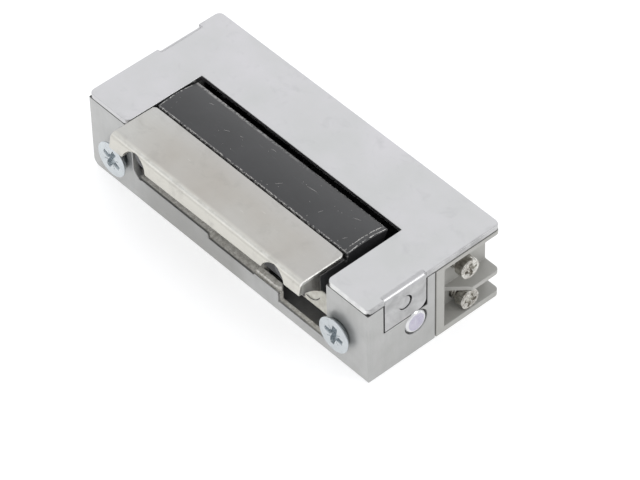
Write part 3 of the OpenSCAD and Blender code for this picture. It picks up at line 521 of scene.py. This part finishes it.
def soften(node, width):
    """Rounds the edges of a CAD node that stays."""
    obj = cad[node]
    weld(obj)
    flat = obj.modifiers.new("flat", "DECIMATE")
    flat.decimate_type = "DISSOLVE"
    flat.angle_limit = math.radians(0.5)
    round_edges(obj, width, 30, node)


def round_wire(node):
    """Smooths the eight-sided wire of a spring or lead."""
    obj = cad[node]
    weld(obj)
    smooth = obj.modifiers.new("smooth", "SUBSURF")
    smooth.levels = smooth.render_levels = 1
    smooth_shading(obj)


# ---- pieces ----

def piece(name, mesh_data, body, slot, *replaces):
    """A mesh object in the frame's metres, riding on a body and finished by a slot's material."""
    mesh_data.name = name
    obj = bpy.data.objects.new(name, mesh_data)
    bpy.context.scene.collection.objects.link(obj)
    obj.data.materials.append(FINISHES[slot])
    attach(obj, body)
    if replaces:
        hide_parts(*replaces)
    return obj


def new_mesh(name, points, faces, smooth=True):
    """A mesh from points in millimetres from the body's corner."""
    data = bpy.data.meshes.new(name)
    data.from_pydata([at(*p) for p in points], [], faces)
    data.validate()
    bm = bmesh.new()
    bm.from_mesh(data)
    bmesh.ops.remove_doubles(bm, verts=bm.verts, dist=1e-7)
    bmesh.ops.recalc_face_normals(bm, faces=bm.faces)
    for face in bm.faces:
        face.smooth = smooth
    sharp = math.radians(35)
    for edge in bm.edges:
        if len(edge.link_faces) == 2 and edge.calc_face_angle(0) > sharp:
            edge.smooth = False
    bm.to_mesh(data)
    bm.free()
    return data


def merged(parts):
    points, faces = [], []
    for p, f in parts:
        faces += [tuple(len(points) + i for i in face) for face in f]
        points += p
    return points, faces


def skin(rows, n):
    """Faces between rows of n points, each row closed around."""
    return [(j * n + i, j * n + (i + 1) % n, (j + 1) * n + (i + 1) % n, (j + 1) * n + i)
            for j in range(rows - 1) for i in range(n)]


def arc(cy, cz, r, start, end, steps):
    """Points on a circle, from one angle to another."""
    angles = [start + (end - start) * i / steps for i in range(steps + 1)]
    return [(cy + r * math.cos(a), cz + r * math.sin(a)) for a in angles]


# ---- screws ----

def cross_recess_depth(u, v, span, width, depth):
    """Depth of a cross recess at a place on a screw's head, with slanted wings and four small ticks."""
    deepest = 0.0
    for a, b in ((abs(u), abs(v)), (abs(v), abs(u))):
        reach = a / (span / 2)
        if reach < 1:
            half = width / 2 * (1.15 - 0.3 * reach)
            side = min(1, max(0, (half - b) / (width * 0.16)))
            end = min(1, (1 - reach) / 0.06)
            deepest = max(deepest, depth * (1 - 0.45 * reach) * min(side, end))
    r = math.hypot(u, v)
    deepest = max(deepest, depth * min(1, max(0, (width * 0.95 - r) / (width * 0.35))))
    s, t = abs(u + v) / math.sqrt(2), abs(u - v) / math.sqrt(2)
    for a, b in ((s, t), (t, s)):
        if width * 0.95 < a < span * 0.44 and b < width * 0.11:
            deepest = max(deepest, depth * 0.07)
    return deepest


def screw(base, axis, turn, head_r, profile, shank_r, length, pitch, recess, dome=0.0):
    """Points and faces of a screw. The head's middle is at base and its shank runs along -axis.
    The profile is the head's side, as radius and depth, from its face to the shank. The recess is
    its span, width and depth."""
    sectors, face_rings, span = 144, 34, recess[0]
    axis = Vector(axis)
    side = axis.orthogonal().normalized()
    up = axis.cross(side)
    base = Vector(base)
    rows = []

    def put(ring):
        rows.append([base + axis * h + side * (r * math.cos(a)) + up * (r * math.sin(a)) for a, r, h in ring])

    angles = [2 * math.pi * i / sectors + turn for i in range(sectors)]
    rings = [span / 2 * 1.04 * i / face_rings for i in range(1, face_rings + 1)]
    rings += [head_r * k for k in (0.7, 0.78, 0.86, 0.93, 0.97) if head_r * k > span / 2 * 1.08]
    for r in rings:
        crown = dome * (1 - (r / head_r) ** 2)
        put([(a, r, crown - cross_recess_depth(r * math.cos(a - turn), r * math.sin(a - turn), *recess))
             for a in angles])
    for r, h in profile:
        put([(a, r, -h) for a in angles])
    start = profile[-1][1]
    steps = int((length - start) / pitch * 8)
    thread = pitch * 0.45
    for i in range(steps + 1):
        h = start + (length - start) * i / steps
        fade = min(1, (length - h) / pitch, (h - start) / pitch + 0.2)
        ring = []
        for a in angles:
            phase = (h / pitch - a / (2 * math.pi)) % 1
            ring.append((a, shank_r - thread * fade * abs(2 * phase - 1) * 0.8, -h))
        put(ring)
    points = [p for row in rows for p in row]
    faces = skin(len(rows), sectors)
    middle, tip = len(points), len(points) + 1
    last = len(points) - sectors
    points += [base + axis * (dome - recess[2]), base - axis * length]
    for i in range(sectors):
        k = (i + 1) % sectors
        faces += [(middle, k, i), (tip, last + i, last + k)]
    return points, faces


def faceplate_screws():
    """Two countersunk screws, the right one turned in 0.4 mm deeper."""
    low, high = box_mm("faceplate_screws")
    head_r, shank_r, length, pitch, recess = 3.3, 1.72, 7.6, 0.6, (4.1, 1.1, 1.7)
    z = (low.z + high.z) / 2
    profile = [(head_r - 0.05, 0), (head_r - 0.015, 0.02), (head_r, 0.06), (head_r, 0.22),
               (head_r - 0.04, 0.27), (1.9, 1.68), (shank_r, 1.86)]
    return [screw((x, y, z), (0, -1, 0), turn, head_r, profile, shank_r, length, pitch, recess)
            for x, y, turn in ((low.x + head_r, low.y, 0.35), (high.x - head_r, low.y + 0.4, 0.6))]


def terminal_screws():
    low, high = box_mm("terminal_screws")
    head_r, shank_r, pitch, recess, dome = 1.85, 1.44, 0.5, (2.6, 0.8, 0.75), 0.14
    x, y = high.x - dome, (low.y + high.y) / 2
    profile = [(head_r - 0.16, 0.02), (head_r - 0.05, 0.12), (head_r, 0.3), (head_r, 1.68),
               (head_r - 0.08, 1.78), (1.5, 1.8), (shank_r, 1.85)]
    return [screw((x, y, z), (1, 0, 0), turn, head_r, profile, shank_r, x - low.x, pitch, recess, dome)
            for z, turn in ((low.z + head_r, 0.5), (high.z - head_r, 0.85))]


def clamp_screws():
    low, high = box_mm("keeper_clamp_screws")
    head_r, shank_r, pitch, recess, dome = 2.0, 1.44, 0.5, (2.2, 0.6, 0.6), 0.08
    y, z = low.y + dome, (low.z + high.z) / 2
    profile = [(head_r - 0.1, 0.02), (head_r, 0.12), (head_r, 0.85), (head_r - 0.05, 0.92),
               (1.5, 0.94), (shank_r, 1)]
    return [screw((x, y, z), (0, -1, 0), turn, head_r, profile, shank_r, high.y - y, pitch, recess, dome)
            for x, turn in ((low.x + head_r, 0.2), (high.x - head_r, 0.7))]


# ---- the keeper's nose ----

NOSE_LOW, NOSE_HIGH = box_mm("keeper_nose")
FOOT_Z, FOOT_RISE = 13.36, 0.52        # the lip's foot at the left end, and its rise to the right end
LIP_R, EDGE_R, PLATE_T = 0.375, 0.14, 1.0


def foot_rise(x):
    return FOOT_RISE * (x - NOSE_LOW.x) / (NOSE_HIGH.x - NOSE_LOW.x)


def nose_section(x, inset):
    """The nose cut across at x: a plate, a rounded ridge, a lip that leans back and the latch's hollow."""
    front, back, top = NOSE_LOW.y, NOSE_HIGH.y, NOSE_HIGH.z
    lean, ridge_r, joint_y, lip_back = math.radians(12), 1.1, 0.45, math.radians(81)
    ridge_z = top - ridge_r
    ridge_y = front + LIP_R + (ridge_z - FOOT_Z) * math.tan(lean) + (ridge_r - LIP_R) / math.cos(lean)
    rise, face = foot_rise(x), math.pi - lean
    joint = math.acos((joint_y - HOLLOW[0]) / HOLLOW_R)
    outline = arc(back - EDGE_R - inset, top - EDGE_R - inset, EDGE_R, 0, QUARTER, 4)
    outline += arc(ridge_y, ridge_z, ridge_r - inset, QUARTER, face, 28)
    foot_y = front + LIP_R + rise * math.tan(lean)
    outline += arc(foot_y, FOOT_Z + rise, LIP_R - inset, face, face + math.pi, 12)
    outline += arc(*HOLLOW, HOLLOW_R + inset, lip_back, joint, 20)
    return outline + [(joint_y - inset, top - PLATE_T + inset), (back - inset, top - PLATE_T + inset)]


def nose_sweep():
    """Points and faces of the section swept along the nose, with rounded ends."""
    x0, x1 = NOSE_LOW.x, NOSE_HIGH.x
    ends = [(EDGE_R * (1 - math.cos(a)), EDGE_R * (1 - math.sin(a))) for a in
            (QUARTER * i / 4 for i in range(5))]
    rows = [(x0 + d, inset) for d, inset in ends]
    rows += [(x0 + (x1 - x0) * i / 16, 0) for i in range(1, 16)]
    rows += [(x1 - d, inset) for d, inset in reversed(ends)]
    points = [(x, y, z) for x, inset in rows for y, z in nose_section(x, inset)]
    n = len(points) // len(rows)
    caps = [tuple(range(n)), tuple(range(len(points) - 1, len(points) - n - 1, -1))]
    return points, skin(len(rows), n) + caps


def notch_prism(x):
    """A round-topped notch through the lip, flared at its foot."""
    notch_r, notch_top, flare, flange_y = 2.85, 15.62, 0.45, -1.1
    notch_z = notch_top - notch_r
    corner_z = FOOT_Z + foot_rise(x) - LIP_R + 0.12
    start = math.asin((corner_z + flare - notch_z) / notch_r)
    half = arc(0, notch_z, notch_r, start, QUARTER, 20)[::-1]
    side = half[-1][0]
    half += [(side + flare * (1 - math.cos(a)), corner_z + flare * (1 - math.sin(a))) for a in
             (QUARTER * i / 8 for i in range(1, 9))]
    half.append((side + flare, notch_z - 4))
    outline = half + [(-u, v) for u, v in reversed(half[1:])]
    return [(x + u, y, v) for y in (NOSE_LOW.y - 1, flange_y) for u, v in outline]


def corner_prism(x, way):
    """What a rounded back corner leaves off the plate. The way is 1 at its left end, -1 at its right."""
    back, top = NOSE_HIGH.y, NOSE_HIGH.z
    outline = [(x - way, back + 1), (x - way, back - 1)]
    outline += [(x + way * (1 - math.cos(a)), back - 1 + math.sin(a)) for a in
                (QUARTER * i / 10 for i in range(11))]
    outline.append((x + way, back + 1))
    return [(u, v, z) for z in (top - PLATE_T - 0.001, top + 1) for u, v in outline]


def cut_away(obj, prism):
    """Cuts a prism, given as one end's points and then the other's, out of an object."""
    n = len(prism) // 2
    faces = [tuple(range(n)), tuple(range(2 * n - 1, n - 1, -1))] + skin(2, n)
    cutter = bpy.data.objects.new("cutter", new_mesh("cutter", prism, faces))
    bpy.context.scene.collection.objects.link(cutter)
    cut = obj.modifiers.new("cut", "BOOLEAN")
    cut.operation, cut.solver, cut.object = "DIFFERENCE", "EXACT", cutter
    depsgraph = bpy.context.evaluated_depsgraph_get()
    cut_mesh = bpy.data.meshes.new_from_object(obj.evaluated_get(depsgraph))
    obj.modifiers.clear()
    obj.data = cut_mesh
    bpy.data.objects.remove(cutter)


def keeper_nose():
    """The swept nose with a notch at each clamp screw and rounded back corners."""
    obj = piece("nose", new_mesh("nose", *nose_sweep()), "keeper", "nickel_nose", "keeper_nose")
    low, high = box_mm("keeper_clamp_screws")
    for prism in (notch_prism(low.x + 2.15), notch_prism(high.x - 2.2),
                  corner_prism(NOSE_LOW.x, 1), corner_prism(NOSE_HIGH.x, -1)):
        cut_away(obj, prism)
    bm = bmesh.new()
    bm.from_mesh(obj.data)
    bmesh.ops.dissolve_degenerate(bm, dist=0.02 * MM, edges=bm.edges)
    bm.to_mesh(obj.data)
    bm.free()
    round_edges(obj, 0.07, 50, "keeper_nose")


# ---- wear ----

SWIVEL_LOW, SWIVEL_HIGH = box_mm("keeper_swivel")


def crown_height(y):
    """Height of the swivel's slightly rounded top."""
    middle, radius = 9.57, 20
    return SWIVEL_HIGH.z - radius + math.sqrt(radius ** 2 - (y - middle) ** 2)


def chip(rng, x, y, length, width, turn):
    """A small flat-topped flake of bare metal, sunk in the swivel's top."""
    sunk, proud = 0.06, 0.006
    n = rng.randint(5, 8)
    outline = []
    for i in range(n):
        a = 2 * math.pi * i / n + rng.uniform(-0.2, 0.2)
        r = rng.uniform(0.7, 1)
        u, v = length / 2 * r * math.cos(a), width / 2 * r * math.sin(a)
        outline.append((u * math.cos(turn) - v * math.sin(turn), u * math.sin(turn) + v * math.cos(turn)))
    points = [Vector((x + u, y + v, crown_height(y + v) + h)) for h in (-sunk, proud) for u, v in outline]
    return points, [tuple(range(n - 1, -1, -1)), tuple(range(n, 2 * n))] + skin(2, n)


def swivel_wear():
    """Chips and scratches in the swivel's paint. The draws' order fixes where they fall."""
    rng = random.Random(7)
    x0, x1 = SWIVEL_LOW.x, SWIVEL_HIGH.x
    front_edge, back_edge = 6.33, 14.72
    parts = []
    for _ in range(150):
        x = rng.uniform(x0 + 0.5, x1 - 0.8)
        parts.append(chip(rng, x, front_edge + rng.uniform(0, 0.14), rng.uniform(0.15, 0.8),
                          rng.uniform(0.05, 0.13), rng.uniform(-0.2, 0.2)))
    for line, count in ((x1 - 0.95, 60), (x1 - 0.22, 50), (x0 + 0.3, 34)):  # worn lines across the ends
        for _ in range(count):
            y = rng.uniform(6.6, 14.5)
            parts.append(chip(rng, line + rng.uniform(-0.07, 0.07), y, rng.uniform(0.15, 0.6),
                              rng.uniform(0.05, 0.12), QUARTER + rng.uniform(-0.3, 0.3)))
    for _ in range(46):
        parts.append(chip(rng, rng.uniform(38, x1 - 0.6), back_edge + rng.uniform(-0.03, 0.03),
                          rng.uniform(0.15, 0.7), rng.uniform(0.03, 0.07), 0))
    for x, y, length, turn in ((22, 10.4, 1.4, 0.5), (24.5, 11.2, 0.8, 0.2), (36.5, 8.6, 1.8, 0.9),
                               (41, 11.6, 2.4, 0.15), (45.5, 9.2, 1.2, 1.2), (50.5, 12.4, 1.6, 0.4),
                               (52.3, 8.1, 1.1, 1.0), (30.2, 13.1, 1.5, 0.1), (15.5, 12.8, 1.2, 0.3)):
        parts.append(chip(rng, x, y, length, 0.05, turn))
    for _ in range(26):                                      # specks all over
        parts.append(chip(rng, rng.uniform(x0 + 1, x1 - 1.5), rng.uniform(7, 14.2), rng.uniform(0.08, 0.3),
                          rng.uniform(0.03, 0.07), rng.uniform(0, math.pi)))
    return parts


def bead(path, radius, seed):
    """An uneven bead along a path: flash on a cast edge, or a dark line of painted shade at a pressed mark's
    edge.
    """
    rng = random.Random(seed)
    sides, step = 6, 0.22
    rows = []
    for a, b in zip(path, path[1:]):
        a, b = Vector(a), Vector(b)
        steps = max(2, int((b - a).length / step))
        rows += [(a.lerp(b, i / steps), radius * rng.uniform(0.45, 1.25)) for i in range(steps)]
    rows[0] = (rows[0][0], radius * 0.3)
    rows[-1] = (rows[-1][0], radius * 0.3)
    points = []
    for j, (p, r) in enumerate(rows):
        along = (rows[min(j + 1, len(rows) - 1)][0] - rows[max(j - 1, 0)][0]).normalized()
        side = along.cross(Vector((0, 0, 1)) if abs(along.z) < 0.8 else Vector((0, 1, 0))).normalized()
        up = side.cross(along)
        for i in range(sides):
            a = 2 * math.pi * i / sides
            points.append(p + side * (r * math.cos(a)) + up * (r * math.sin(a)))
    last = len(points) - sides
    caps = [tuple(range(sides - 1, -1, -1)), tuple(last + i for i in range(sides))]
    return points, skin(len(rows), sides) + caps


def burrs():
    """Flash along the front rim, the low wall at its right and the rough land behind it."""
    rim = [(12.2, 0.12, 4.6), (28.5, 0.12, 4.6), (28.7, 0.12, 3.6), (39.5, 0.12, 3.6)]
    low_wall = [(45.6, 0.16, 2), (56.8, 0.16, 2)]
    land = [(14, 3.35, 4.56), (28.4, 3.35, 4.56)]
    return [bead(rim, 0.11, 3), bead(low_wall, 0.1, 5), bead(land, 0.12, 6)]


def ejector_mark_shade():
    """A dark arc at the edge of an ejector-pin mark pressed into the swivel's hollow near its right end:
    painted shade, a thin dark bead standing for the shadow of that edge.
    """
    middle_x, middle_z, radius = 50.9, 8.2, 2.3
    hollow_y, hollow_z = HOLLOW
    path = []
    for i in range(15):
        a = math.radians(-112 + 6.5 * i)
        x, z = middle_x + radius * math.cos(a), middle_z + radius * math.sin(a)
        if z > hollow_z:
            y = hollow_y + math.sqrt(HOLLOW_R ** 2 - (z - hollow_z) ** 2)
        else:                                                # the leaning wall under the hollow
            y = hollow_y + HOLLOW_R - (hollow_z - z) * 0.19
        path.append((x, y - 0.01, z))
    return [bead(path, 0.075, 9)]


# ---- the scene ----

add_camera()
add_stage()
slots = {s["node"]: s["material_slot"] for s in frame["record"]["subparts"]}
for name, obj in cad.items():
    obj.data.materials.clear()
    obj.data.materials.append(FINISHES[slots[name]])

for name, width in (("housing", 0.16), ("cover_plate", 0.14), ("keeper_swivel", 0.22),
                    ("terminal_block", 0.12), ("keeper_pivot_pin", 0.08), ("locking_lever", 0.08),
                    ("armature", 0.06), ("magnet_yoke", 0.08), ("coil_bobbin", 0.06),
                    ("terminal_nuts", 0.08)):
    soften(name, width)
for name in ("keeper_return_spring", "lever_spring", "armature_spring", "coil_leads"):
    round_wire(name)
keeper_nose()

for name, parts, body, slot, node in (
        ("faceplate_screw_pair", faceplate_screws(), "body", "bright_zinc", "faceplate_screws"),
        ("terminal_screw_pair", terminal_screws(), "body", "bright_zinc", "terminal_screws"),
        ("clamp_screw_pair", clamp_screws(), "keeper", "dark_steel", "keeper_clamp_screws")):
    piece(name, new_mesh(name, *merged(parts)), body, slot, node)

piece("swivel_wear", new_mesh("swivel_wear", *merged(swivel_wear()), smooth=False), "keeper", "nickel_nose")
# painted shade: a dark bead for the shadow at the ejector mark's edge
piece("ejector_mark_shade", new_mesh("ejector_mark_shade", *merged(ejector_mark_shade())), "keeper", "dark_steel")
piece("casting_burrs", new_mesh("casting_burrs", *merged(burrs())), "body", "die_cast_zinc")
